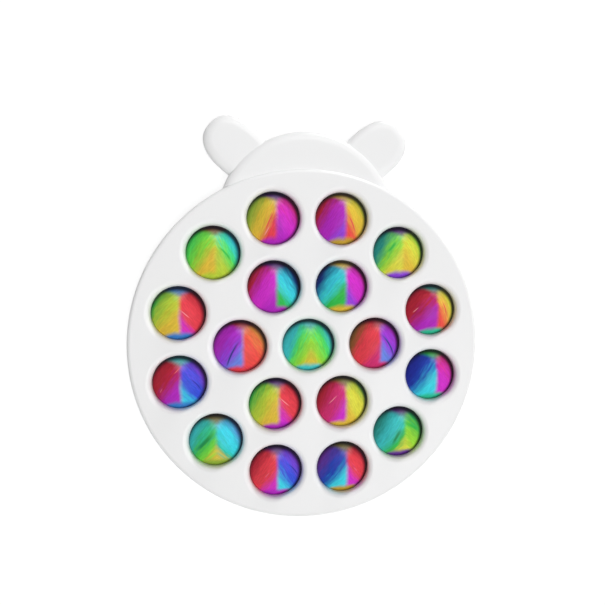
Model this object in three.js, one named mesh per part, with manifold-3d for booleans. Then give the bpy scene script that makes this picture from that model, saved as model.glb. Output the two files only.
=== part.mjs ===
// Bubble pop fidget toy: a flat board of two shells, round with a small head and two round ears,
// that clamps nineteen silicone bubbles, one in the middle, six round it and twelve round those.
// Millimetres, +Z up. The board lies on its back face at z = 0, with its head towards +Y, and the
// origin is at the middle of its length and width.

import * as THREE from "three";
import { mergeVertices } from "three/addons/utils/BufferGeometryUtils.js";
import Module from "manifold-3d";

const wasm = await Module();
wasm.setup();

// Driving dimensions of the openings and of the bubbles' flanges in the shells.
const openingRadius = 10;
const flangeLap = 1.8;
const seatClearance = 0.2;
const webWidth = 1.3;
const rimBorder = 6.5;

// Driving dimensions of the board.
const backShellThickness = 4;
const frontShellThickness = 4;
const discEdgeRadius = 1.6;
const frontLipRadius = 2.2;
const frontThroatLap = 0.2;
const backLipRadius = 0.8;

// Driving dimensions of the head and the ears, whose faces lie in steps below the disc's face.
const headRadius = 33.2;
const headReach = 13.8;
const headStep = 0.9;
const headEdgeWidth = 3.6;
const headEdgeDepth = 2.2;
const earHalfLength = 14;
const earHalfWidth = 9.6;
const earSquareness = 2.4;
const earOffset = 2.8;
const earBearing = THREE.MathUtils.degToRad(46.5);
const earHeading = THREE.MathUtils.degToRad(40);
const earStep = 0.9;

// Driving dimensions of one bubble.
const crownRise = 1.5;
const skirtClearance = 0.6;
const skinThickness = 1;
const flangeThickness = 1.2;
const crownCutShare = 0.5;

// Driving dimensions of the pegs that locate the front shell on the back shell.
const pegRadius = 1.5;
const pegLength = 1.6;
const pegClearance = 0.15;
const pegEndGap = 0.3;
const pegInset = 7.5;

// How far a cutting tool runs past the face that it cuts.
const overrun = 2;

// How many pieces of each kind, and how finely round shapes are faceted.
const innerRingCount = 6;
const outerRingCount = 12;
const rimPegCount = 6;
const middlePegCount = 3;
const openingSides = 16;
const pegSides = 10;
const discSides = 64;
const headSides = 48;
const earSides = 36;
const edgeSteps = 2;

// Sizes that follow from these.
const boardThickness = backShellThickness + frontShellThickness;
const flangeRadius = openingRadius + flangeLap;
const seatRadius = flangeRadius + seatClearance;
const pitch = 2 * seatRadius + webWidth;
const innerRingRadius = pitch;
const outerRingRadius = pitch / (2 * Math.sin(Math.PI / outerRingCount));
const discRadius = outerRingRadius + openingRadius + rimBorder;
const headCentre = discRadius + headReach - headRadius;
const headFace = boardThickness - headStep;
const earFace = headFace - earStep;

// Heights on a bubble: its flange lies on the back shell, and its crown stands above the front face.
// The dome is a cap of a sphere, from its foot at the flange's middle to its crown.
const flangeTop = backShellThickness + flangeThickness;
const flangeMiddle = backShellThickness + flangeThickness / 2;
const crownTop = boardThickness + crownRise;
const crownCut = flangeTop + (crownTop - flangeTop) * crownCutShare;
const domeHeight = crownTop - flangeMiddle;
const footRadius = openingRadius - skirtClearance;
const domeRadius = (footRadius ** 2 + domeHeight ** 2) / (2 * domeHeight);
const domeCentre = crownTop - domeRadius;

// Colours seen on the object.
const hues = {
  white: 0xececec,
  crimson: 0xd3304c,
  magenta: 0xc92fc0,
  violet: 0x8a3fd8,
  blue: 0x2c4bc4,
  cyan: 0x2fc3dc,
  teal: 0x1d9c88,
  green: 0x36bf4c,
  lime: 0xa6d936,
  yellow: 0xe8d23c,
  orange: 0xef7f35,
};

// The main hue of each bubble's crown and skirt, counted anticlockwise from +X in each ring.
const centreHues = [["lime", "teal"]];
const innerRingHues = [
  ["crimson", "violet"],
  ["cyan", "magenta"],
  ["violet", "cyan"],
  ["orange", "violet"],
  ["crimson", "yellow"],
  ["magenta", "yellow"],
];
const outerRingHues = [
  ["magenta", "yellow"],
  ["lime", "teal"],
  ["crimson", "yellow"],
  ["yellow", "magenta"],
  ["orange", "green"],
  ["crimson", "lime"],
  ["violet", "crimson"],
  ["green", "cyan"],
  ["crimson", "blue"],
  ["blue", "magenta"],
  ["green", "teal"],
  ["cyan", "magenta"],
];

/** A smooth glossy plastic or a softer silicone of one hue. */
function finish(hue, roughness) {
  return new THREE.MeshStandardMaterial({ color: hues[hue], roughness, metalness: 0 });
}

/** The geometry as a closed solid, with shared corners merged and flat slivers at a pole left out. */
function solid(geometry) {
  const bare = geometry.clone();
  bare.deleteAttribute("normal");
  bare.deleteAttribute("uv");
  const merged = mergeVertices(bare);
  const corners = [];
  for (let i = 0; i < merged.index.count; i += 3) {
    const [a, b, c] = [0, 1, 2].map((k) => merged.index.getX(i + k));
    if (a !== b && b !== c && c !== a) corners.push(a, b, c);
  }
  const vertProperties = new Float32Array(merged.attributes.position.array);
  const triVerts = new Uint32Array(corners);
  return new wasm.Manifold(new wasm.Mesh({ numProp: 3, vertProperties, triVerts }));
}

/** A solid given back as a geometry. */
function geometryOf(body) {
  const mesh = body.getMesh();
  const geometry = new THREE.BufferGeometry();
  geometry.setAttribute("position", new THREE.BufferAttribute(mesh.vertProperties, 3));
  geometry.setIndex(new THREE.BufferAttribute(mesh.triVerts, 1));
  geometry.computeVertexNormals();
  return geometry;
}

/** A closed profile of [radius, height] pairs, anticlockwise, turned round a vertical axis at x, y. */
function turned(profile, sides, x, y) {
  const points = profile.map(([radius, height]) => new THREE.Vector2(radius, height));
  const geometry = new THREE.LatheGeometry(points, sides);
  geometry.rotateX(Math.PI / 2);
  geometry.translate(x, y, 0);
  return geometry;
}

/** A plain round rod or cutter from one height to another. */
function rod(radius, low, high, sides, x, y) {
  return turned([[0, low], [radius, low], [radius, high], [0, high]], sides, x, y);
}

/** The points of a closed curve, worked out from an angle that goes once round. */
function curve(sides, pointAt) {
  return Array.from({ length: sides }, (unused, i) => pointAt((2 * Math.PI * i) / sides));
}

/** The disc's outline, about its own centre. */
function discOutline() {
  return curve(discSides, (angle) => [discRadius * Math.cos(angle), discRadius * Math.sin(angle)]);
}

/** The head's outline: a smaller circle whose top stands out past the disc. */
function headOutline() {
  return curve(headSides, (angle) => [headRadius * Math.cos(angle), headCentre + headRadius * Math.sin(angle)]);
}

/** An ear's outline: a squarish oval that leans outwards, with its root under the head's edge. */
function earOutline(side) {
  const along = [Math.cos(earHeading), Math.sin(earHeading)];
  const middle = (headRadius + earOffset) * Math.cos(earBearing);
  const height = headCentre + (headRadius + earOffset) * Math.sin(earBearing);
  const oval = (value) => Math.sign(value) * Math.abs(value) ** (2 / earSquareness);
  return curve(earSides, (angle) => {
    const u = earHalfLength * oval(Math.cos(angle));
    const v = earHalfWidth * oval(side * Math.sin(angle));
    return [side * (middle + u * along[0] - v * along[1]), height + u * along[1] + v * along[0]];
  });
}

// The origin is at the middle of the board's length, from the disc's foot to the ears' tips.
const boardLength = discRadius + Math.max(...earOutline(1).map((point) => point[1]));
const discCentreY = discRadius - boardLength / 2;

/** A slab from z = 0 to the given face, of the given outline, with both its edges rounded by an oval. */
function slab(outline, face, edgeWidth, edgeDepth) {
  const shape = new THREE.Shape(outline.map(([x, y]) => new THREE.Vector2(x, y)));
  const geometry = new THREE.ExtrudeGeometry(shape, {
    depth: face - 2 * edgeDepth,
    bevelEnabled: true,
    bevelThickness: edgeDepth,
    bevelSize: edgeWidth,
    bevelOffset: -edgeWidth,
    bevelSegments: edgeSteps,
  });
  geometry.translate(0, discCentreY, edgeDepth);
  return solid(geometry);
}

/** A block that holds everything between two heights. */
function layer(low, high) {
  const width = 2 * boardLength;
  const geometry = new THREE.BoxGeometry(width, width, high - low);
  geometry.translate(0, 0, (low + high) / 2);
  return solid(geometry);
}

/** The places of count things round the disc's centre, the first at the given angle. */
function ring(count, radius, firstAngle) {
  const places = [];
  for (let i = 0; i < count; i++) {
    const angle = firstAngle + (2 * Math.PI * i) / count;
    places.push([radius * Math.cos(angle), discCentreY + radius * Math.sin(angle)]);
  }
  return places;
}

// The bubbles' places: each outer bubble lies half a step round from +X, so that two flank each axis.
const bubblePlaces = [
  [0, discCentreY],
  ...ring(innerRingCount, innerRingRadius, 0),
  ...ring(outerRingCount, outerRingRadius, Math.PI / outerRingCount),
];
const bubbleHues = [...centreHues, ...innerRingHues, ...outerRingHues];

// The pegs stand in the gaps between the openings: near the rim, round the middle bubble and in the head.
const pegPlaces = [
  ...ring(rimPegCount, discRadius - pegInset, Math.PI / rimPegCount),
  ...ring(middlePegCount, pitch / Math.sqrt(3), Math.PI / innerRingCount),
  [0, discCentreY + discRadius + headReach / 2],
];

/** The cutter for one opening in the front shell: a throat with a rounded lip over the flange's seat. */
function frontOpening(x, y) {
  const throatRadius = openingRadius - frontThroatLap;
  const profile = [
    [0, backShellThickness - overrun],
    [seatRadius, backShellThickness - overrun],
    [seatRadius, flangeTop],
    [throatRadius, flangeTop],
  ];
  for (let i = 0; i <= edgeSteps; i++) {
    const angle = ((Math.PI / 2) * i) / edgeSteps;
    profile.push([
      throatRadius + frontLipRadius * (1 - Math.cos(angle)),
      boardThickness - frontLipRadius * (1 - Math.sin(angle)),
    ]);
  }
  profile.push([throatRadius + frontLipRadius, boardThickness + overrun], [0, boardThickness + overrun]);
  return solid(turned(profile, openingSides, x, y));
}

/** The cutter for one opening in the back shell: a throat with its lower edge broken. */
function backOpening(x, y) {
  const profile = [
    [0, -overrun],
    [openingRadius + backLipRadius, -overrun],
    [openingRadius + backLipRadius, 0],
    [openingRadius, backLipRadius],
    [openingRadius, backShellThickness + overrun],
    [0, backShellThickness + overrun],
  ];
  return solid(turned(profile, openingSides, x, y));
}

/** The whole board as one solid: the disc, the lower head behind it and the ears, lower again. */
function board() {
  return slab(discOutline(), boardThickness, discEdgeRadius, discEdgeRadius)
    .add(slab(headOutline(), headFace, headEdgeWidth, headEdgeDepth))
    .add(slab(earOutline(-1), earFace, headEdgeWidth, headEdgeDepth))
    .add(slab(earOutline(1), earFace, headEdgeWidth, headEdgeDepth));
}

/** The front shell: the board above the parting plane, with its openings and the pegs' sockets. */
function frontShell() {
  let shell = board().intersect(layer(backShellThickness, boardThickness + overrun));
  for (const [x, y] of bubblePlaces) {
    shell = shell.subtract(frontOpening(x, y));
  }
  const socketRadius = pegRadius + pegClearance;
  const socketTop = backShellThickness + pegLength + pegEndGap;
  for (const [x, y] of pegPlaces) {
    shell = shell.subtract(solid(rod(socketRadius, backShellThickness - overrun, socketTop, pegSides, x, y)));
  }
  return geometryOf(shell);
}

/** The back shell: the board below the parting plane, with its openings and the pegs standing on it. */
function backShell() {
  let shell = board().intersect(layer(-overrun, backShellThickness));
  for (const [x, y] of bubblePlaces) {
    shell = shell.subtract(backOpening(x, y));
  }
  const pegTop = backShellThickness + pegLength;
  for (const [x, y] of pegPlaces) {
    shell = shell.add(solid(rod(pegRadius, backShellThickness / 2, pegTop, pegSides, x, y)));
  }
  return geometryOf(shell);
}

/** The radius of the bubble's skin at a height, on its outer face or, with a depth, inside it. */
function skinRadius(height, depth) {
  return Math.sqrt((domeRadius - depth) ** 2 - (height - domeCentre) ** 2);
}

/** A bubble's skirt: its flange, clamped by the shells, and the lower half of the dome, which flexes. */
function skirt(x, y) {
  const waist = (flangeTop + crownCut) / 2;
  const profile = [
    [skinRadius(backShellThickness, skinThickness), backShellThickness],
    [flangeRadius, backShellThickness],
    [flangeRadius, flangeTop],
    [skinRadius(flangeTop, 0), flangeTop],
    [skinRadius(waist, 0), waist],
    [skinRadius(crownCut, 0), crownCut],
    [skinRadius(crownCut, skinThickness), crownCut],
    [skinRadius(backShellThickness, skinThickness), backShellThickness],
  ];
  return turned(profile, openingSides, x, y);
}

/** A bubble's crown: the upper half of the dome, hollow below, which a fingertip pushes through. */
function crown(x, y) {
  const shoulder = (crownCut + 2 * crownTop) / 3;
  const profile = [
    [0, crownTop - skinThickness],
    [skinRadius(crownCut, skinThickness), crownCut],
    [skinRadius(crownCut, 0), crownCut],
    [skinRadius(shoulder, 0), shoulder],
    [0, crownTop],
  ];
  return turned(profile, openingSides, x, y);
}

/** A named mesh of one piece. */
function piece(name, geometry, hue, roughness) {
  const mesh = new THREE.Mesh(geometry, finish(hue, roughness));
  mesh.name = name;
  return mesh;
}

const shellRoughness = 0.25;
const siliconeRoughness = 0.35;

const toy = new THREE.Group();
toy.add(piece("front_shell", frontShell(), "white", shellRoughness));
toy.add(piece("back_shell", backShell(), "white", shellRoughness));
bubblePlaces.forEach(([x, y], index) => {
  const number = String(index).padStart(2, "0");
  const [crownHue, skirtHue] = bubbleHues[index];
  toy.add(piece(`bubble_${number}_crown`, crown(x, y), crownHue, siliconeRoughness));
  toy.add(piece(`bubble_${number}_skirt`, skirt(x, y), skirtHue, siliconeRoughness));
});

export default toy;
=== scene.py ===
# Bubble pop fidget toy: a flat white board of two plastic shells, a round disc with a small head and two
# round ears, that clamps nineteen rainbow silicone bubbles. It lies on its back face at z = 0, with its
# head towards +Y, and is seen from above. Blender works in metres, and every length here is written in
# millimetres.

import math

import bpy
import numpy as np
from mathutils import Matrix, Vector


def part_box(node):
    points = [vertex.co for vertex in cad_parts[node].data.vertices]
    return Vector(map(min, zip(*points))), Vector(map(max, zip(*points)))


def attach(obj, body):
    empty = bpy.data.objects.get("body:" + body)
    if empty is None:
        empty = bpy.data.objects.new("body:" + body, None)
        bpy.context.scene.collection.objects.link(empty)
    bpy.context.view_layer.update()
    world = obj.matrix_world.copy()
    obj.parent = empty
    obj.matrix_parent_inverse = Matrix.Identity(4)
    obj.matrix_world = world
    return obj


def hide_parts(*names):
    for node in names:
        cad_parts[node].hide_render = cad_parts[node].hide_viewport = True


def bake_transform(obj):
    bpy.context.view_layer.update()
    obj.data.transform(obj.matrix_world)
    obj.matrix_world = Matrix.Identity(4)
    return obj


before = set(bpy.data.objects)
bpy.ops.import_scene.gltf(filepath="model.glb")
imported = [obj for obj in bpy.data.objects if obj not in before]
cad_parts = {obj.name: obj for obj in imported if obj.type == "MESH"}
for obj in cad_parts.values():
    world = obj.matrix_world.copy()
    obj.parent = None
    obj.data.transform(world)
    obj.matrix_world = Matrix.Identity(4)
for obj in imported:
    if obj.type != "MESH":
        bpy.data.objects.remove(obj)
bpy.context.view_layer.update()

# Back shell
# The lower half of the board, an injection moulding in glossy white ABS. It lies on the table on its flat
# back, holds the silicone in nineteen openings with broken edges, and carries the ten pegs that locate the
# front shell. Its edge is round below, and a fine chamfer marks the parting line above.

MM = 0.001
BUBBLES = 19

board_face = 8.0
parting_height = 4.0
parting_chamfer = 0.25
opening_radius = 10.0
disc_radius = 65.376
disc_edge = (1.6, 1.6)
head_radius = 33.2
head_reach = 13.8
head_edge = (3.6, 2.2)
head_drop = 0.9
ear_half_length = 14.0
ear_half_width = 9.6
ear_squareness = 2.4
ear_offset = 2.8
ear_bearing = math.radians(46.5)
ear_heading = math.radians(40)
ear_drop = 0.9
back_lip = 0.8
lip_bend_share = 0.3
peg_radius = 1.5
peg_length = 1.6
peg_inset = 7.5
outer_pegs = 6
inner_pegs = 3
first_peg_angle = math.pi / 6
overrun = 1.0
crease_angle = math.radians(32)

# How many sides each outline has, and in how many steps an edge is rounded.
disc_sides = 256
head_sides = 192
ear_sides = 180
opening_sides = 96
peg_sides = 32
rounding_steps = 10


def middle_of(node):
    """The middle of a CAD node's box, in millimetres."""
    low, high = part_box(node)
    return np.array((low + high) / 2) / MM


bubble_places = [middle_of(f"bubble_{number:02d}_skirt")[:2] for number in range(BUBBLES)]
disc_centre = bubble_places[0]
head_centre = disc_centre + [0, disc_radius + head_reach - head_radius]


def circle(centre, radius, count, first_angle=0.0):
    """The centre plus the radius times evenly spaced directions, anticlockwise from the first angle."""
    angle = first_angle + np.arange(count) * (2 * np.pi / count)
    return centre + radius * np.column_stack([np.cos(angle), np.sin(angle)])


def ear(side):
    """A superellipse, whose two shares raised to its squareness sum to one, turned to the ear's heading. The
    side is 1 for the right ear and -1 for the left one, its mirror image."""
    angle = np.arange(ear_sides) * (2 * np.pi / ear_sides)
    across, up = np.cos(angle), side * np.sin(angle)
    u = ear_half_length * np.sign(across) * np.abs(across) ** (2 / ear_squareness)
    v = ear_half_width * np.sign(up) * np.abs(up) ** (2 / ear_squareness)
    reach = head_radius + ear_offset
    x = reach * math.cos(ear_bearing) + u * math.cos(ear_heading) - v * math.sin(ear_heading)
    y = reach * math.sin(ear_bearing) + u * math.sin(ear_heading) + v * math.cos(ear_heading)
    return head_centre + np.column_stack([side * x, y])


def slab(outline, profile):
    """A solid between flat ends: for each profile row, the outline moved in along its own inward normal by
    the row's inset and set at the row's height, with each ring joined to the next."""
    tangent = np.roll(outline, -1, axis=0) - np.roll(outline, 1, axis=0)
    inward = np.column_stack([-tangent[:, 1], tangent[:, 0]]) / np.linalg.norm(tangent, axis=1)[:, None]
    rows = np.array(profile, float)
    flat = outline[None] + rows[:, 0][:, None, None] * inward[None]
    height = np.broadcast_to(rows[:, 1][:, None, None], flat.shape[:2] + (1,))
    points = np.concatenate([flat, height], axis=2).reshape(-1, 3)
    count = len(outline)
    start = np.arange(len(rows) - 1)[:, None] * count
    here = np.arange(count)[None]
    following = (here + 1) % count
    corners = [start + here, start + following, start + following + count, start + here + count]
    walls = np.stack(corners, axis=2)
    foot = np.arange(count)[::-1].tolist()
    top = (np.arange(count) + (len(rows) - 1) * count).tolist()
    return points, walls.reshape(-1, 4).tolist() + [foot, top]


def rounded(edge, start, upwards):
    """Insets and heights along a quarter of an oval as wide and as deep as the edge says: one minus the
    cosine, and the sine, where it rounds upwards into a face, and one minus the sine, and one minus the
    cosine, where it rises from a face."""
    angle = np.linspace(0, math.pi / 2, rounding_steps + 1)
    if upwards:
        insets, rises = 1 - np.cos(angle), np.sin(angle)
    else:
        insets, rises = 1 - np.sin(angle), 1 - np.cos(angle)
    width, depth = edge
    return [(width * inset, start + depth * rise) for inset, rise in zip(insets, rises)]


def new_piece(name, *solids):
    """A mesh object at the origin from one or more solids, each given as points in millimetres and faces."""
    points = []
    faces = []
    for some_points, some_faces in solids:
        offset = len(points)
        points += (some_points * MM).tolist()
        faces += [[corner + offset for corner in face] for face in some_faces]
    mesh = bpy.data.meshes.new(name)
    mesh.from_pydata(points, [], faces)
    mesh.update()
    piece = bpy.data.objects.new(name, mesh)
    bpy.context.scene.collection.objects.link(piece)
    return piece


def round_slabs(name, places, radius, sides, profile):
    """One piece with a round slab of the same profile at each of the places."""
    return new_piece(name, *[slab(circle(place, radius, sides), profile) for place in places])


def combine(piece, operation, tool):
    """The tool is joined to the piece or cut from it, and is used up."""
    step = piece.modifiers.new("step", "BOOLEAN")
    step.operation = operation
    step.solver = "EXACT"
    step.object = tool
    depsgraph = bpy.context.evaluated_depsgraph_get()
    result = bpy.data.meshes.new_from_object(piece.evaluated_get(depsgraph))
    piece.modifiers.clear()
    piece.data = result
    bpy.data.objects.remove(tool)


def half_board(name, profile_to):
    """The disc, the head and the two ears joined, each a slab whose profile follows from the height of its
    face and from its edge."""
    head_face = board_face - head_drop
    ear_face = head_face - ear_drop
    disc = circle(disc_centre, disc_radius, disc_sides)
    head = circle(head_centre, head_radius, head_sides)
    piece = new_piece(name, slab(disc, profile_to(board_face, disc_edge)))
    combine(piece, "UNION", new_piece("head", slab(head, profile_to(head_face, head_edge))))
    for side in (-1, 1):
        combine(piece, "UNION", new_piece("ear", slab(ear(side), profile_to(ear_face, head_edge))))
    return piece


def shade_softly(piece, crease):
    """Smooth shading, broken where faces meet at more than the crease's angle, with flat faces kept flat."""
    piece.data.shade_smooth()
    piece.data.set_sharp_from_angle(angle=crease)
    even = piece.modifiers.new("even_shading", "WEIGHTED_NORMAL")
    even.keep_sharp = True
    even.weight = 80


pitch = np.linalg.norm(bubble_places[1] - disc_centre)
edge_pegs = circle(disc_centre, disc_radius - peg_inset, outer_pegs, first_peg_angle)
middle_pegs = circle(disc_centre, pitch / math.sqrt(3), inner_pegs, first_peg_angle)
head_peg = disc_centre + [0, disc_radius + head_reach / 2]
peg_places = [*edge_pegs, *middle_pegs, head_peg]


def back_profile(face, edge):
    """Round below, straight, and chamfered at the parting line, whatever the face above it."""
    low = rounded(edge, 0, upwards=False)
    return low + [(0, parting_height - parting_chamfer), (parting_chamfer, parting_height)]


back_shell = half_board("back_shell_moulding", back_profile)
back_cut = [
    (-back_lip, -overrun),
    (-back_lip, 0),
    (-back_lip * lip_bend_share, back_lip * lip_bend_share),
    (0, back_lip),
    (0, parting_height + overrun),
]
back_openings = round_slabs("openings", bubble_places, opening_radius, opening_sides, back_cut)
combine(back_shell, "DIFFERENCE", back_openings)
peg_profile = [
    (0, parting_height / 2),
    (0, parting_height + peg_length - parting_chamfer),
    (parting_chamfer, parting_height + peg_length),
]
pegs = round_slabs("pegs", peg_places, peg_radius, peg_sides, peg_profile)
combine(back_shell, "UNION", pegs)
shade_softly(back_shell, crease_angle)


def placed(tree, kind, options, inputs):
    """A new node with its options set, each of whose inputs takes a constant or another node's output."""
    node = tree.nodes.new(kind)
    for name, value in options.items():
        setattr(node, name, value)
    for key, value in inputs.items():
        if isinstance(value, bpy.types.NodeSocket):
            tree.links.new(value, node.inputs[key])
        else:
            node.inputs[key].default_value = value
    return node


def maths(tree, operation, *values):
    """The output of one Math node."""
    return placed(tree, "ShaderNodeMath", {"operation": operation}, dict(enumerate(values))).outputs[0]


def faded(tree, value, low, high, least=0.0, most=1.0):
    """The value's smooth step from least at low to most at high."""
    ends = {"Value": value, "From Min": low, "From Max": high, "To Min": least, "To Max": most}
    return placed(tree, "ShaderNodeMapRange", {"interpolation_type": "SMOOTHSTEP"}, ends).outputs[0]


def swung(tree, value, size):
    """A value from 0 to 1 made one from minus half the size to plus half of it."""
    return maths(tree, "MULTIPLY_ADD", value, size, -size / 2)


def blended(tree, share, first, second, kind="MIX"):
    """The first colour at a share of 0 and the second at a share of 1, or with the kind MULTIPLY their
    product."""
    options = {"data_type": "RGBA", "blend_type": kind}
    return placed(tree, "ShaderNodeMix", options, {0: share, 6: first, 7: second}).outputs[2]


def noise(tree, vector, scale, detail, roughness=0.5):
    """The value of one Noise Texture."""
    inputs = {"Vector": vector, "Scale": scale, "Detail": detail, "Roughness": roughness}
    return placed(tree, "ShaderNodeTexNoise", {}, inputs).outputs[0]


def new_group(name, inputs, outputs):
    """An empty shader group with its named sockets, and its entry and exit nodes."""
    group = bpy.data.node_groups.new(name, "ShaderNodeTree")
    for label, kind, value in inputs:
        socket = group.interface.new_socket(label, in_out="INPUT", socket_type="NodeSocket" + kind)
        if value is not None:
            socket.default_value = value
    for label, kind in outputs:
        group.interface.new_socket(label, in_out="OUTPUT", socket_type="NodeSocket" + kind)
    return group, group.nodes.new("NodeGroupInput"), group.nodes.new("NodeGroupOutput")


def moulded_group():
    """A moulded surface: soft patches vary its colour and its gloss, and broad waves with a little fine grain
    on them its height. Its scales of noise are per metre."""
    inputs = [
        ("Vector", "Vector", None),
        ("Color", "Color", None),
        ("Patch Color", "Color", None),
        ("Patch Scale", "Float", 60.0),
        ("Least Roughness", "Float", 0.2),
        ("Most Roughness", "Float", 0.4),
        ("Grain Scale", "Float", 1500.0),
    ]
    outputs = [("Color", "Color"), ("Roughness", "Float"), ("Height", "Float")]
    group, entry, leave = new_group("moulded_surface", inputs, outputs)
    given = entry.outputs
    patches = noise(group, given["Vector"], given["Patch Scale"], detail=3.0)
    share = faded(group, patches, low=0.2, high=0.8)
    ends = {"Value": share, "To Min": given["Least Roughness"], "To Max": given["Most Roughness"]}
    gloss = placed(group, "ShaderNodeMapRange", {}, ends).outputs[0]
    grain = noise(group, given["Vector"], given["Grain Scale"], detail=2.0)
    waves = noise(group, given["Vector"], scale=45.0, detail=1.0)
    grain_share = 0.02
    height = maths(group, "ADD", maths(group, "MULTIPLY", grain, grain_share), waves)
    group.links.new(blended(group, share, given["Color"], given["Patch Color"]), leave.inputs["Color"])
    group.links.new(gloss, leave.inputs["Roughness"])
    group.links.new(height, leave.inputs["Height"])
    return group


moulded = moulded_group()


def new_material(name):
    """A material, its tree, its Principled node and its Object coordinates."""
    material = bpy.data.materials.new(name)
    material.use_nodes = True
    tree = material.node_tree
    shader = tree.nodes["Principled BSDF"]
    return material, tree, shader, tree.nodes.new("ShaderNodeTexCoord").outputs["Object"]


def moulded_onto(shader, tree, inputs, bump_strength, bump_depth):
    """The moulded surface with these inputs, leading to the shader's colour, roughness and normal."""
    surface = placed(tree, "ShaderNodeGroup", {"node_tree": moulded}, inputs)
    relief = {"Height": surface.outputs["Height"], "Strength": bump_strength, "Distance": bump_depth * MM}
    bump = placed(tree, "ShaderNodeBump", {}, relief)
    tree.links.new(surface.outputs["Color"], shader.inputs["Base Color"])
    tree.links.new(surface.outputs["Roughness"], shader.inputs["Roughness"])
    tree.links.new(bump.outputs["Normal"], shader.inputs["Normal"])


def dressed(piece, material, body="root"):
    """The piece gets its material and its slot, and rides on its body, if it is on one body alone."""
    piece.data.materials.clear()
    piece.data.materials.append(material)
    if body:
        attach(piece, body)


def shell_plastic():
    """Glossy white ABS: a clean white with patches too faint to pick out, and a slight waviness left by the
    mould."""
    material, tree, shader, vector = new_material("glossy_white_plastic")
    inputs = {
        "Vector": vector,
        "Color": (0.83, 0.83, 0.83, 1),
        "Patch Color": (0.824, 0.824, 0.827, 1),
        "Patch Scale": 60.0,
        "Least Roughness": 0.28,
        "Most Roughness": 0.31,
        "Grain Scale": 2500.0,
    }
    moulded_onto(shader, tree, inputs, bump_strength=0.2, bump_depth=0.03)
    shader.inputs["IOR"].default_value = 1.5
    return material


white_plastic = shell_plastic()
dressed(back_shell, white_plastic)
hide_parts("back_shell")

# Silicone bubbles
# Nineteen soft silicone mouldings about a millimetre thick, each with a flange that the shells clamp, a thin
# skirt that flexes and a domed crown that a fingertip pushes through. The rainbow tie-dye is folded along one
# seam in each, so that its bands meet there in a wedge, and no two are alike.

skin_thickness = 1.0
flange_thickness = 1.2
flange_radius = 11.8
flange_middle = 4.6
dome_radius = 10.966
dome_centre = -1.966
dome_top = dome_centre + dome_radius
foot_rounding = 0.5
pole_rise = 0.007
bubble_sides = 96

# From where to where the rings of a bubble's surface lie, and how many there are. They are closest where the
# dome bends into its foot.
crown_rings = (0.4, 8.0, 20)
foot_rings = (8.15, 10.1, 14)
flange_rings = (10.4, flange_radius, 5)


def bubble_surface(centre):
    """A surface of revolution: its height over a radius is a soft maximum of the flange's height and a
    sphere's, which is half of their sum plus half of the root of their difference squared and a rounding
    squared. The pole stands level with the first ring."""
    radius = np.concatenate([np.linspace(*rings) for rings in (crown_rings, foot_rings, flange_rings)])
    angle = np.arange(bubble_sides) * (2 * np.pi / bubble_sides)
    sphere = dome_centre + np.sqrt(np.maximum(dome_radius**2 - radius**2, 0))
    gap = sphere - flange_middle
    height = flange_middle + (gap + np.sqrt(gap**2 + foot_rounding**2)) / 2
    x = centre[0] + radius[:, None] * np.cos(angle)[None]
    y = centre[1] + radius[:, None] * np.sin(angle)[None]
    z = np.broadcast_to(height[:, None], x.shape)
    rings = np.stack([x, y, z], axis=2).reshape(-1, 3)
    points = np.concatenate([[[centre[0], centre[1], dome_top + pole_rise]], rings])
    count = len(angle)
    here = np.arange(count)
    following = (here + 1) % count
    pole = np.column_stack([np.zeros(count, int), 1 + here, 1 + following])
    start = 1 + np.arange(len(radius) - 1)[:, None] * count
    corners = [start + here, start + here + count, start + following + count, start + following]
    quads = np.stack(corners, axis=2)
    return points, pole.tolist() + quads.reshape(-1, 4).tolist()


# What the four numbers and the three hues of one side of a print stand for.
shape_names = ("Slope", "Wedge", "Bow", "Arc")
band_names = ("Outer", "Middle", "Inner")


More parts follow.
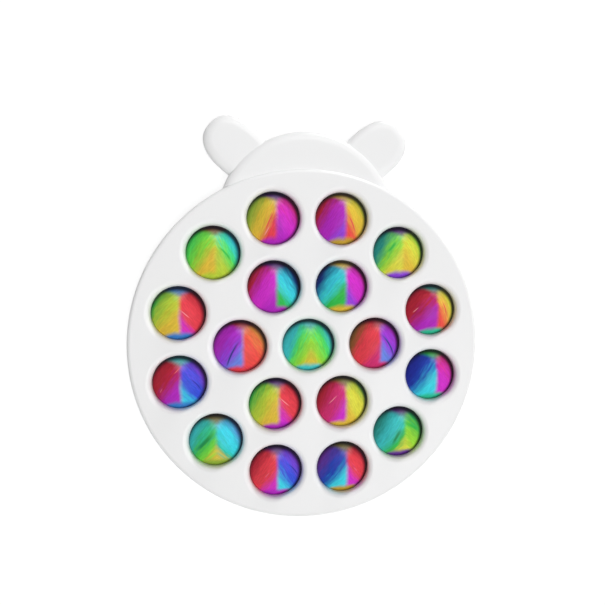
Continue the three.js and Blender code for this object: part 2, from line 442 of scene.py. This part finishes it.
def tie_dye_group():
    """Tie-dye folded along an upright seam, on coordinates that run from -1 to 1 across the opening. Each
    side has three hues: an inner wedge under a line that falls away from the seam ever more steeply, as its
    slope says, a middle band under a parabola as steep as its bow, and the rest outside. Streaks that run
    along the wedge's line shift and shade the bands. A lens of another hue closes the top and the foot, and a
    low hue may fill the middle of the wedge. A soft pale spot high on the seam is a painted highlight."""
    sides = ("Left", "Right")
    floats = [f"{side} {shape}" for side in sides for shape in shape_names]
    hues = [f"{side} {band}" for side in sides for band in band_names]
    inputs = [("Vector", "Vector", None)]
    inputs += [(label, "Float", 0.5) for label in floats + ["Seam", "Low Amount"]]
    inputs += [(label, "Color", None) for label in hues + ["Low", "Top", "Foot"]]
    group, entry, leave = new_group("folded_tie_dye", inputs, [("Color", "Color")])
    given = entry.outputs
    parts = placed(group, "ShaderNodeSeparateXYZ", {}, {0: given["Vector"]})
    x, y = parts.outputs[0], parts.outputs[1]
    wobble = swung(group, noise(group, given["Vector"], scale=3.0, detail=2.0), 0.08)
    offset = maths(group, "ADD", maths(group, "SUBTRACT", x, given["Seam"]), wobble)
    side = faded(group, offset, low=-0.11, high=0.11)
    reach = maths(group, "ABSOLUTE", offset)
    squared = maths(group, "MULTIPLY", reach, reach)

    def sided(label):
        """The left side's value left of the seam and the right side's on its right."""
        ends = {0: side, 2: given["Left " + label], 3: given["Right " + label]}
        return placed(group, "ShaderNodeMix", {}, ends).outputs[0]

    def hue_of(band):
        """The hue of a band, the left side's left of the seam and the right side's on its right."""
        return blended(group, side, given["Left " + band], given["Right " + band])

    # The streaks: noise that is drawn out along the wedge's line.
    steepening, first_steepness = 0.3, 0.85
    steeper = maths(group, "MULTIPLY_ADD", reach, steepening, first_steepness)
    fall = maths(group, "MULTIPLY", maths(group, "MULTIPLY", sided("Slope"), reach), steeper)
    across = maths(group, "ADD", y, fall)
    along = maths(group, "SUBTRACT", y, fall)
    own_streaks = maths(group, "ADD", given["Seam"], given["Left Wedge"])
    streaks_across = 6.0
    lane_parts = {0: maths(group, "MULTIPLY", across, streaks_across), 1: along, 2: own_streaks}
    lane = placed(group, "ShaderNodeCombineXYZ", {}, lane_parts).outputs[0]
    shift = swung(group, noise(group, lane, scale=0.9, detail=2.0), 0.9)

    # The three bands of each side, from the outside in.
    curved = maths(group, "ADD", y, maths(group, "MULTIPLY", squared, sided("Bow")))
    under_arc = maths(group, "ADD", maths(group, "SUBTRACT", curved, sided("Arc")), shift)
    middle = faded(group, under_arc, low=0.55, high=-0.55)
    under_wedge = maths(group, "ADD", maths(group, "SUBTRACT", across, sided("Wedge")), shift)
    inner = faded(group, under_wedge, low=0.5, high=-0.5)
    colour = blended(group, middle, hue_of("Outer"), hue_of("Middle"))
    colour = blended(group, inner, colour, hue_of("Inner"))

    # The low hue, in a small wedge of its own.
    low_slope, low_drop = 1.4, 0.26
    sunk = maths(group, "ADD", maths(group, "MULTIPLY_ADD", reach, low_slope, y), low_drop)
    low = faded(group, maths(group, "ADD", sunk, shift), low=0.3, high=-0.25)
    colour = blended(group, maths(group, "MULTIPLY", low, given["Low Amount"]), colour, given["Low"])

    # The lenses at the top and the foot, each with a wavy edge.
    top_slope, foot_bow = -0.22, 0.35
    waver = swung(group, noise(group, given["Vector"], scale=2.2, detail=1.0), 0.2)
    top_line = maths(group, "ADD", maths(group, "MULTIPLY_ADD", reach, top_slope, y), waver)
    colour = blended(group, faded(group, top_line, low=0.56, high=0.8), colour, given["Top"])
    foot_line = maths(group, "ADD", maths(group, "MULTIPLY_ADD", squared, foot_bow, y), waver)
    colour = blended(group, faded(group, foot_line, low=-0.63, high=-0.85), colour, given["Foot"])

    # The painted highlight, a soft pale spot high on the seam, and the light and dark of the streaks.
    highlight_height = 0.7
    highlight_spot = placed(group, "ShaderNodeCombineXYZ", {}, {0: given["Seam"], 1: highlight_height}).outputs[0]
    ends = {0: given["Vector"], 1: highlight_spot}
    to_highlight = placed(group, "ShaderNodeVectorMath", {"operation": "DISTANCE"}, ends).outputs["Value"]
    # Painted highlight: the colour is blended a little towards white in a soft spot high on the seam.
    painted_highlight = (0.9, 0.9, 0.9, 1)
    colour = blended(group, faded(group, to_highlight, low=0.36, high=0.05, most=0.12), colour, painted_highlight)
    fine = noise(group, lane, scale=2.4, detail=3.0, roughness=0.6)
    shade = faded(group, fine, low=0.3, high=0.7, least=0.88, most=1.11)
    grey = placed(group, "ShaderNodeCombineColor", {}, {0: shade, 1: shade, 2: shade}).outputs[0]
    group.links.new(blended(group, 1.0, colour, grey, "MULTIPLY"), leave.inputs["Color"])
    return group


def stroke_group():
    """A mask for one thin line left in the dye. The line starts at the vector's origin, runs along its first
    axis for its length, and stands aside by its bow times the share of its length that is passed and the
    share that is left. The mask fades out over its half width and at both ends."""
    floats = {"Length": 0.5, "Half Width": 0.03, "Bow": 0.0}
    inputs = [("Vector", "Vector", None)] + [(label, "Float", value) for label, value in floats.items()]
    group, entry, leave = new_group("dye_stroke", inputs, [("Mask", "Float")])
    given = entry.outputs
    parts = placed(group, "ShaderNodeSeparateXYZ", {}, {0: given["Vector"]})
    share = maths(group, "DIVIDE", parts.outputs[0], given["Length"])
    hump = maths(group, "MULTIPLY", share, maths(group, "SUBTRACT", 1.0, share))
    off = maths(group, "SUBTRACT", parts.outputs[1], maths(group, "MULTIPLY", hump, given["Bow"]))
    near = maths(group, "DIVIDE", maths(group, "ABSOLUTE", off), given["Half Width"])
    body = faded(group, near, low=1.0, high=0.2)
    first_end = faded(group, share, low=0.0, high=0.4)
    last_end = faded(group, share, low=1.0, high=0.65)
    ends = maths(group, "MULTIPLY", first_end, last_end)
    group.links.new(maths(group, "MULTIPLY", body, ends), leave.inputs["Mask"])
    return group


def painted_groove_shade_group():
    """Painted shade in the groove round the dome: the print is darkened to near black where the dome bends
    down to its foot, by a smooth step over the distance from a point a little low and to the left of the
    middle, so that the painted shade reaches further in at the top and the right."""
    inputs = [("Vector", "Vector", None), ("Color", "Color", None), ("Shade Color", "Color", None)]
    group, entry, leave = new_group("painted_groove_shade", inputs, [("Color", "Color")])
    given = entry.outputs
    shade_centre = (-0.04, -0.072, 0)
    ends = {0: given["Vector"], 1: shade_centre}
    radius = placed(group, "ShaderNodeVectorMath", {"operation": "DISTANCE"}, ends).outputs["Value"]
    share = faded(group, radius, low=0.8, high=0.98, most=0.96)
    group.links.new(blended(group, share, given["Color"], given["Shade Color"]), leave.inputs["Color"])
    return group


tie_dye = tie_dye_group()
stroke = stroke_group()
# Painted shade: each print is darkened to near black towards its dome's foot, deepest at the top and the
# right.
painted_groove_shade = painted_groove_shade_group()

# The dyes in the print, as levels of red, green and blue from 0 to 255.
dyes = {
    "navy": (28, 52, 122),
    "indigo": (36, 46, 152),
    "cobalt": (34, 68, 174),
    "blue": (58, 80, 210),
    "sky": (104, 134, 222),
    "azure": (58, 128, 200),
    "cyan": (62, 208, 224),
    "aqua": (64, 192, 194),
    "sea": (46, 186, 146),
    "teal": (44, 144, 134),
    "forest": (30, 134, 76),
    "green": (50, 182, 74),
    "leaf": (72, 214, 92),
    "lime": (122, 212, 64),
    "pear": (150, 212, 56),
    "moss": (146, 176, 60),
    "citron": (180, 202, 62),
    "yellow": (216, 212, 70),
    "gold": (218, 184, 62),
    "ochre": (192, 158, 54),
    "olive": (128, 116, 44),
    "brown": (132, 88, 46),
    "orange": (232, 138, 74),
    "coral": (230, 78, 72),
    "red": (222, 64, 76),
    "crimson": (178, 38, 56),
    "ruby": (204, 50, 112),
    "magenta": (204, 48, 196),
    "orchid": (174, 42, 184),
    "plum": (104, 52, 150),
    "violet": (140, 68, 214),
    "purple": (92, 32, 128),
    "blush": (224, 108, 122),
    "pale": (240, 150, 164),
}

# One row per bubble, from the middle outwards and anticlockwise from +X in each ring: the seam, then for the
# left and the right side the wedge's slope and top, the arc's bow and top and the outer, middle and inner
# hue, then the low hue or None, and the hues of the top and the foot. Places are in radii of the opening.
prints = [
    (0.07, (1.8, 0.55, 2.2, 0.85, "aqua", "leaf", "pear"),
     (1.8, 0.55, 1.9, 0.85, "aqua", "leaf", "pear"), "gold", "aqua", "aqua"),
    (0.18, (1.5, 0.1, 1.35, 1.1, "brown", "red", "ruby"),
     (1.3, 0.1, 1.3, 0.5, "orchid", "violet", "sky"), None, "crimson", "ruby"),
    (0.13, (1.0, 0.33, 1.15, 0.78, "navy", "cyan", "green"),
     (1.3, -0.05, 1.3, 0.85, "ruby", "magenta", "violet"), None, "gold", "gold"),
    (0.09, (1.5, -0.1, 1.25, 0.75, "crimson", "magenta", "orchid"),
     (1.35, 0.08, 1.5, 0.62, "navy", "cyan", "green"), None, "purple", "orchid"),
    (0.11, (1.2, 0.0, 0.9, 0.3, "orchid", "violet", "sky"),
     (1.2, 0.72, 1.0, 0.95, "ochre", "orange", "coral"), None, "crimson", "red"),
    (0.13, (1.7, 0.65, 1.0, 0.9, "green", "citron", "gold"),
     (1.3, -0.1, 1.3, 0.95, "crimson", "red", "magenta"), None, "purple", "orchid"),
    (0.12, (2.0, 0.35, 1.3, 0.8, "crimson", "ruby", "magenta"),
     (1.8, 0.1, 1.3, 0.85, "green", "yellow", "gold"), None, "olive", "gold"),
    (0.22, (0.9, 0.42, 1.3, 0.8, "crimson", "crimson", "orchid"),
     (2.0, 0.25, 2.5, 0.42, "yellow", "orange", "coral"), None, "teal", "sea"),
    (0.12, (1.2, 0.32, 1.5, 0.80, "teal", "lime", "yellow"),
     (1.3, 0.30, 1.5, 0.75, "lime", "yellow", "gold"), None, "purple", "violet"),
    (0.13, (1.3, -0.1, 1.15, 0.8, "crimson", "orchid", "violet"),
     (2.0, 0.25, 1.3, 0.8, "citron", "gold", "coral"), None, "ochre", "ochre"),
    (0.10, (2.0, 0.42, 1.3, 0.8, "moss", "gold", "red"),
     (1.4, -0.05, 1.2, 0.55, "ruby", "magenta", "orchid"), None, "purple", "orchid"),
    (0.10, (1.2, 0.42, 1.15, 0.8, "leaf", "lime", "gold"),
     (1.9, 0.48, 1.7, 0.65, "cyan", "leaf", "citron"), None, "brown", "citron"),
    (0.07, (0.8, 0.3, 1.1, 0.9, "green", "citron", "gold"),
     (1.4, -0.15, 1.3, 0.9, "crimson", "red", "magenta"), None, "azure", "azure"),
    (0.07, (1.1, 0.33, 1.3, 0.9, "crimson", "crimson", "orchid"),
     (1.2, -0.22, 1.4, 0.74, "violet", "blue", "cyan"), None, "aqua", "azure"),
    (0.04, (1.1, 0.22, 1.2, 0.58, "aqua", "green", "lime"),
     (1.3, 0.2, 1.3, 0.85, "sky", "cyan", "sea"), "gold", "olive", "moss"),
    (0.05, (1.2, -0.08, 1.3, 0.9, "crimson", "red", "magenta"),
     (1.6, 0.08, 1.3, 0.70, "violet", "blue", "cyan"), None, "purple", "orchid"),
    (0.14, (1.2, 0.22, 1.0, 0.74, "plum", "cobalt", "cyan"),
     (1.3, 0.08, 1.3, 0.85, "crimson", "red", "magenta"), None, "olive", "ochre"),
    (0.20, (1.2, 0.34, 1.2, 0.95, "teal", "aqua", "green"),
     (0.9, 0.48, 1.0, 0.85, "sea", "green", "pear"), "yellow", "purple", "plum"),
    (0.19, (1.2, 0.45, 1.3, 0.8, "indigo", "cobalt", "cyan"),
     (1.3, 0.0, 1.0, 0.40, "ruby", "magenta", "magenta"), None, "green", "sea"),
]

# Thin lines in some prints: the bubble, where the line starts, its heading in degrees, its length, half width
# and bow, also in radii of the opening, and its hue.
strokes = [
    (1, (0.10, 0.46), -59, 1.35, 0.05, 0.45, "navy"),
    (4, (0.06, 0.34), -115, 1.40, 0.05, -0.35, "navy"),
    (15, (0.40, 0.32), -55, 0.75, 0.03, 0.25, "indigo"),
    (13, (0.35, 0.20), -52, 0.70, 0.03, 0.2, "indigo"),
    (7, (0.32, 0.42), -71, 0.88, 0.04, 0.3, "red"),
    (9, (0.14, 0.25), -65, 0.95, 0.04, 0.1, "red"),
    (10, (0.06, 0.28), -115, 0.95, 0.04, -0.1, "red"),
    (5, (0.12, 0.32), -44, 0.58, 0.022, 0.0, "pale"),
    (6, (-0.20, 0.32), -134, 0.54, 0.022, 0.0, "pale"),
    (7, (-0.50, 0.12), -134, 0.34, 0.022, 0.0, "pale"),
    (10, (-0.13, -0.28), -120, 0.46, 0.024, 0.0, "pale"),
    (12, (0.08, 0.16), -44, 0.50, 0.022, 0.0, "pale"),
    (13, (0.10, 0.62), -134, 0.40, 0.022, 0.0, "blush"),
    (13, (-0.58, -0.16), -120, 0.26, 0.02, 0.0, "blush"),
    (15, (-0.22, 0.06), -130, 0.34, 0.02, 0.0, "blush"),
    (16, (0.38, 0.06), -50, 0.28, 0.02, 0.0, "blush"),
    (14, (0.00, 0.40), -133, 1.15, 0.10, 0.0, "forest"),
    (17, (0.10, 0.24), -118, 0.85, 0.08, -0.15, "forest"),
    (17, (0.14, 0.42), -34, 0.85, 0.08, 0.2, "green"),
    (11, (0.12, 0.25), -50, 0.85, 0.05, 0.3, "green"),
    (8, (-0.10, 0.50), -128, 0.70, 0.06, 0.1, "green"),
]


def dye(name):
    """A dye's colour as light: each channel's share of full, taken down by the screen's curve, which is
    straight up to its toe and a lifted power above it."""
    full, toe, toe_slope, lift, power = 255, 0.04045, 12.92, 0.055, 2.4
    shares = np.array(dyes[name]) / full
    light = np.where(shares <= toe, shares / toe_slope, ((shares + lift) / (1 + lift)) ** power)
    return (*light.tolist(), 1)


def silicone(number):
    """Soft silicone with a dull gloss and the number's own print, centred on its bubble, with a painted
    highlight high on its seam and painted shade towards its foot.
    """
    low_amount = 0.85
    line_strength = 0.9
    seam, left, right, low, top, foot = prints[number]
    material, tree, shader, vector = new_material(f"tie_dyed_silicone_{number:02d}")
    scale = 1 / (opening_radius * MM)
    centre = bubble_places[number] * MM
    to_middle = (-centre[0] * scale, -centre[1] * scale, 0)
    to_print = {"Vector": vector, "Location": to_middle, "Scale": (scale, scale, 0)}
    on_print = placed(tree, "ShaderNodeMapping", {}, to_print).outputs[0]
    inputs = {"Vector": on_print, "Seam": seam, "Low Amount": low_amount if low else 0.0}
    for label, (*shapes, outer, middle, inner) in (("Left", left), ("Right", right)):
        hues = [dye(name) for name in (outer, middle, inner)]
        inputs.update({f"{label} {shape}": value for shape, value in zip(shape_names, shapes)})
        inputs.update({f"{label} {band}": hue for band, hue in zip(band_names, hues)})
    inputs.update({"Low": dye(low or top), "Top": dye(top), "Foot": dye(foot)})
    colour = placed(tree, "ShaderNodeGroup", {"node_tree": tie_dye}, inputs).outputs[0]
    for bubble, start, heading, length, half_width, bow, hue in strokes:
        if bubble == number:
            turn = {"Vector": on_print, "Location": (*start, 0), "Rotation": (0, 0, math.radians(heading))}
            on_line = placed(tree, "ShaderNodeMapping", {"vector_type": "TEXTURE"}, turn).outputs[0]
            line = {"Vector": on_line, "Length": length, "Half Width": half_width, "Bow": bow}
            mask = placed(tree, "ShaderNodeGroup", {"node_tree": stroke}, line).outputs[0]
            colour = blended(tree, maths(tree, "MULTIPLY", mask, line_strength), colour, dye(hue))
    # Painted shade: the print darkens to near black towards the dome's foot, more at the top and the right,
    # where shade falls in the groove.
    groove_shade_inputs = {"Vector": on_print, "Color": colour, "Shade Color": (0.006, 0.005, 0.010, 1)}
    colour = placed(tree, "ShaderNodeGroup", {"node_tree": painted_groove_shade}, groove_shade_inputs).outputs[0]
    soft = {
        "Vector": vector,
        "Color": colour,
        "Patch Color": colour,
        "Patch Scale": 120.0,
        "Least Roughness": 0.42,
        "Most Roughness": 0.48,
        "Grain Scale": 3000.0,
    }
    moulded_onto(shader, tree, soft, bump_strength=0.4, bump_depth=0.08)
    shader.inputs["IOR"].default_value = 1.41
    shader.inputs["Specular IOR Level"].default_value = 0.18
    return material


for number, place in enumerate(bubble_places):
    bubble = f"bubble_{number:02d}"
    points, faces = bubble_surface(place)
    skin = new_piece(bubble + "_skin", (points, faces))
    skin.data.shade_smooth()
    clamped = np.linalg.norm(points[:, :2] - place, axis=1) > opening_radius
    thickness = skin.vertex_groups.new(name="thickness")
    thickness.add(np.flatnonzero(clamped).tolist(), 1.0, "REPLACE")
    thickness.add(np.flatnonzero(~clamped).tolist(), skin_thickness / flange_thickness, "REPLACE")
    wall = skin.modifiers.new("wall", "SOLIDIFY")
    wall.thickness = flange_thickness * MM
    wall.offset = 0
    wall.use_even_offset = True
    wall.vertex_group = "thickness"
    dressed(skin, silicone(number), None)
    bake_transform(skin)
    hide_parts(bubble + "_crown", bubble + "_skirt")

# Front shell
# The upper half of the board, moulded in the same glossy white ABS and located on the pegs. Its openings have
# round lips, its disc stands a step above its head, and its head a step above its ears. On its underside are
# the seats of the flanges and the pegs' sockets.

front_lip = (2.2, 2.2)
throat_radius = 9.8
seat_radius = 12.0
peg_clearance = 0.15
peg_end_gap = 0.3


def front_profile(face, edge):
    """Chamfered at the parting line, straight, and round above up to the face."""
    start = parting_height + parting_chamfer
    high = [(inset, rise) for inset, rise in rounded(edge, face - edge[1], upwards=True) if rise > start]
    return [(parting_chamfer, parting_height), (0, start)] + high


front_shell = half_board("front_shell_moulding", front_profile)
seat_top = parting_height + flange_thickness
throat = seat_radius - throat_radius
front_cut = [(0, parting_height - overrun), (0, seat_top), (throat, seat_top)]
lip_rows = rounded(front_lip, board_face - front_lip[1], upwards=True)
front_cut += [(throat - out, rise) for out, rise in lip_rows]
front_cut.append((throat - front_lip[0], board_face + overrun))
front_openings = round_slabs("openings", bubble_places, seat_radius, opening_sides, front_cut)
combine(front_shell, "DIFFERENCE", front_openings)
socket = [(0, parting_height - overrun), (0, parting_height + peg_length + peg_end_gap)]
sockets = round_slabs("sockets", peg_places, peg_radius + peg_clearance, peg_sides, socket)
combine(front_shell, "DIFFERENCE", sockets)
shade_softly(front_shell, crease_angle)
dressed(front_shell, white_plastic)
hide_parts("front_shell")

# Floor and surroundings
# A plain white table top under the toy, and a white room round it that the camera and reflections see. The
# light that falls from the room is soft, and most of it comes from high up on the lower right.

floor_half = 2500.0
floor_shown = 0.86

# The room's main light: where it comes from, round from +X and up from the table, how narrow it is and how
# strong, and how strong the room is elsewhere.
light_heading = math.radians(-50)
light_rise = math.radians(65)
light_sharpness = 14.0
light_strength = 6.6
fill_strength = 0.12


def seen_rays(tree):
    """1 for the rays of the camera, of reflections and of what shows through something clear, else 0."""
    rays = tree.nodes.new("ShaderNodeLightPath").outputs
    seen = maths(tree, "MAXIMUM", rays["Is Camera Ray"], rays["Is Glossy Ray"])
    return maths(tree, "MAXIMUM", seen, rays["Is Transmission Ray"])


floor_points = np.array([[-1, -1, 0], [1, -1, 0], [1, 1, 0], [-1, 1, 0]]) * floor_half
floor = new_piece("floor", (floor_points, [[0, 1, 2, 3]]))
material, tree, shader, vector = new_material("white_floor")
tree.nodes.remove(shader)
mottle = faded(tree, noise(tree, vector, scale=8.0, detail=2.0), low=0.3, high=0.7, least=0.78, most=0.82)
paper = placed(tree, "ShaderNodeCombineColor", {}, {0: mottle, 1: mottle, 2: mottle}).outputs[0]
lit = placed(tree, "ShaderNodeBsdfDiffuse", {}, {"Color": paper})
faint = placed(tree, "ShaderNodeBsdfDiffuse", {}, {"Color": (0.2, 0.2, 0.2, 1)})
bright = placed(tree, "ShaderNodeEmission", {}, {"Color": (1, 1, 1, 1), "Strength": floor_shown})
shown = placed(tree, "ShaderNodeAddShader", {}, {0: faint.outputs[0], 1: bright.outputs[0]})
both = placed(tree, "ShaderNodeMixShader", {}, {0: seen_rays(tree), 1: lit.outputs[0], 2: shown.outputs[0]})
under = placed(tree, "ShaderNodeBsdfTransparent", {}, {})
behind = tree.nodes.new("ShaderNodeNewGeometry").outputs["Backfacing"]
sided = placed(tree, "ShaderNodeMixShader", {}, {0: behind, 1: both.outputs[0], 2: under.outputs[0]})
tree.links.new(sided.outputs[0], tree.nodes["Material Output"].inputs["Surface"])
floor.data.materials.append(material)

world = bpy.data.worlds.new("white_room")
bpy.context.scene.world = world
world.use_nodes = True
tree = world.node_tree
level = math.cos(light_rise)
towards = (level * math.cos(light_heading), level * math.sin(light_heading), math.sin(light_rise))
direction = tree.nodes.new("ShaderNodeTexCoord").outputs["Generated"]
ends = {0: direction, 1: towards}
facing = placed(tree, "ShaderNodeVectorMath", {"operation": "DOT_PRODUCT"}, ends).outputs["Value"]
glow = maths(tree, "POWER", maths(tree, "MAXIMUM", facing, 0.0), light_sharpness)
strength = maths(tree, "MULTIPLY_ADD", glow, light_strength, fill_strength)
fill = placed(tree, "ShaderNodeBackground", {}, {"Color": (1, 1, 1, 1), "Strength": strength})
white = placed(tree, "ShaderNodeBackground", {}, {"Color": (1, 1, 1, 1), "Strength": 1.0})
both = placed(tree, "ShaderNodeMixShader", {}, {0: seen_rays(tree), 1: fill.outputs[0], 2: white.outputs[0]})
tree.links.new(both.outputs[0], tree.nodes["World Output"].inputs["Surface"])

# Lamps
# A strip that skims the table from beyond the head and only catches the board's edges, and a weak box above
# the table beyond the head, which lifts the head a little.


def soft_box(name, place, width, height, power):
    """A rectangular area lamp that faces the board's middle, with its power in watts."""
    lamp = bpy.data.lights.new(name, "AREA")
    lamp.shape = "RECTANGLE"
    lamp.size = width * MM
    lamp.size_y = height * MM
    lamp.energy = power
    box = bpy.data.objects.new(name, lamp)
    bpy.context.scene.collection.objects.link(box)
    towards = -np.array(place)
    box.location = np.array(place) * MM
    box.rotation_euler = (
        math.atan2(math.hypot(towards[0], towards[1]), -towards[2]),
        0,
        math.atan2(towards[1], towards[0]) - math.pi / 2,
    )


soft_box("edge_light", (680.0, 1880.0, 130.0), width=500.0, height=100.0, power=20.0)
soft_box("head_light", (50.0, 420.0, 550.0), width=300.0, height=300.0, power=0.6)

# Camera
# It looks down on the board a little from its left and from its head, as the photograph was taken.

camera_data = bpy.data.cameras.new("camera")
camera_data.sensor_width = 36
camera_data.lens = 35.7
camera_data.shift_x = -0.0748
camera_data.shift_y = -0.0082
camera = bpy.data.objects.new("camera", camera_data)
bpy.context.scene.collection.objects.link(camera)
camera.location = np.array([-19.706, 20.162, 229.923]) * MM
camera.rotation_euler = [math.radians(angle) for angle in (-3.023, -8.814, -0.184)]
bpy.context.scene.camera = camera
bpy.context.scene.view_settings.view_transform = "Standard"
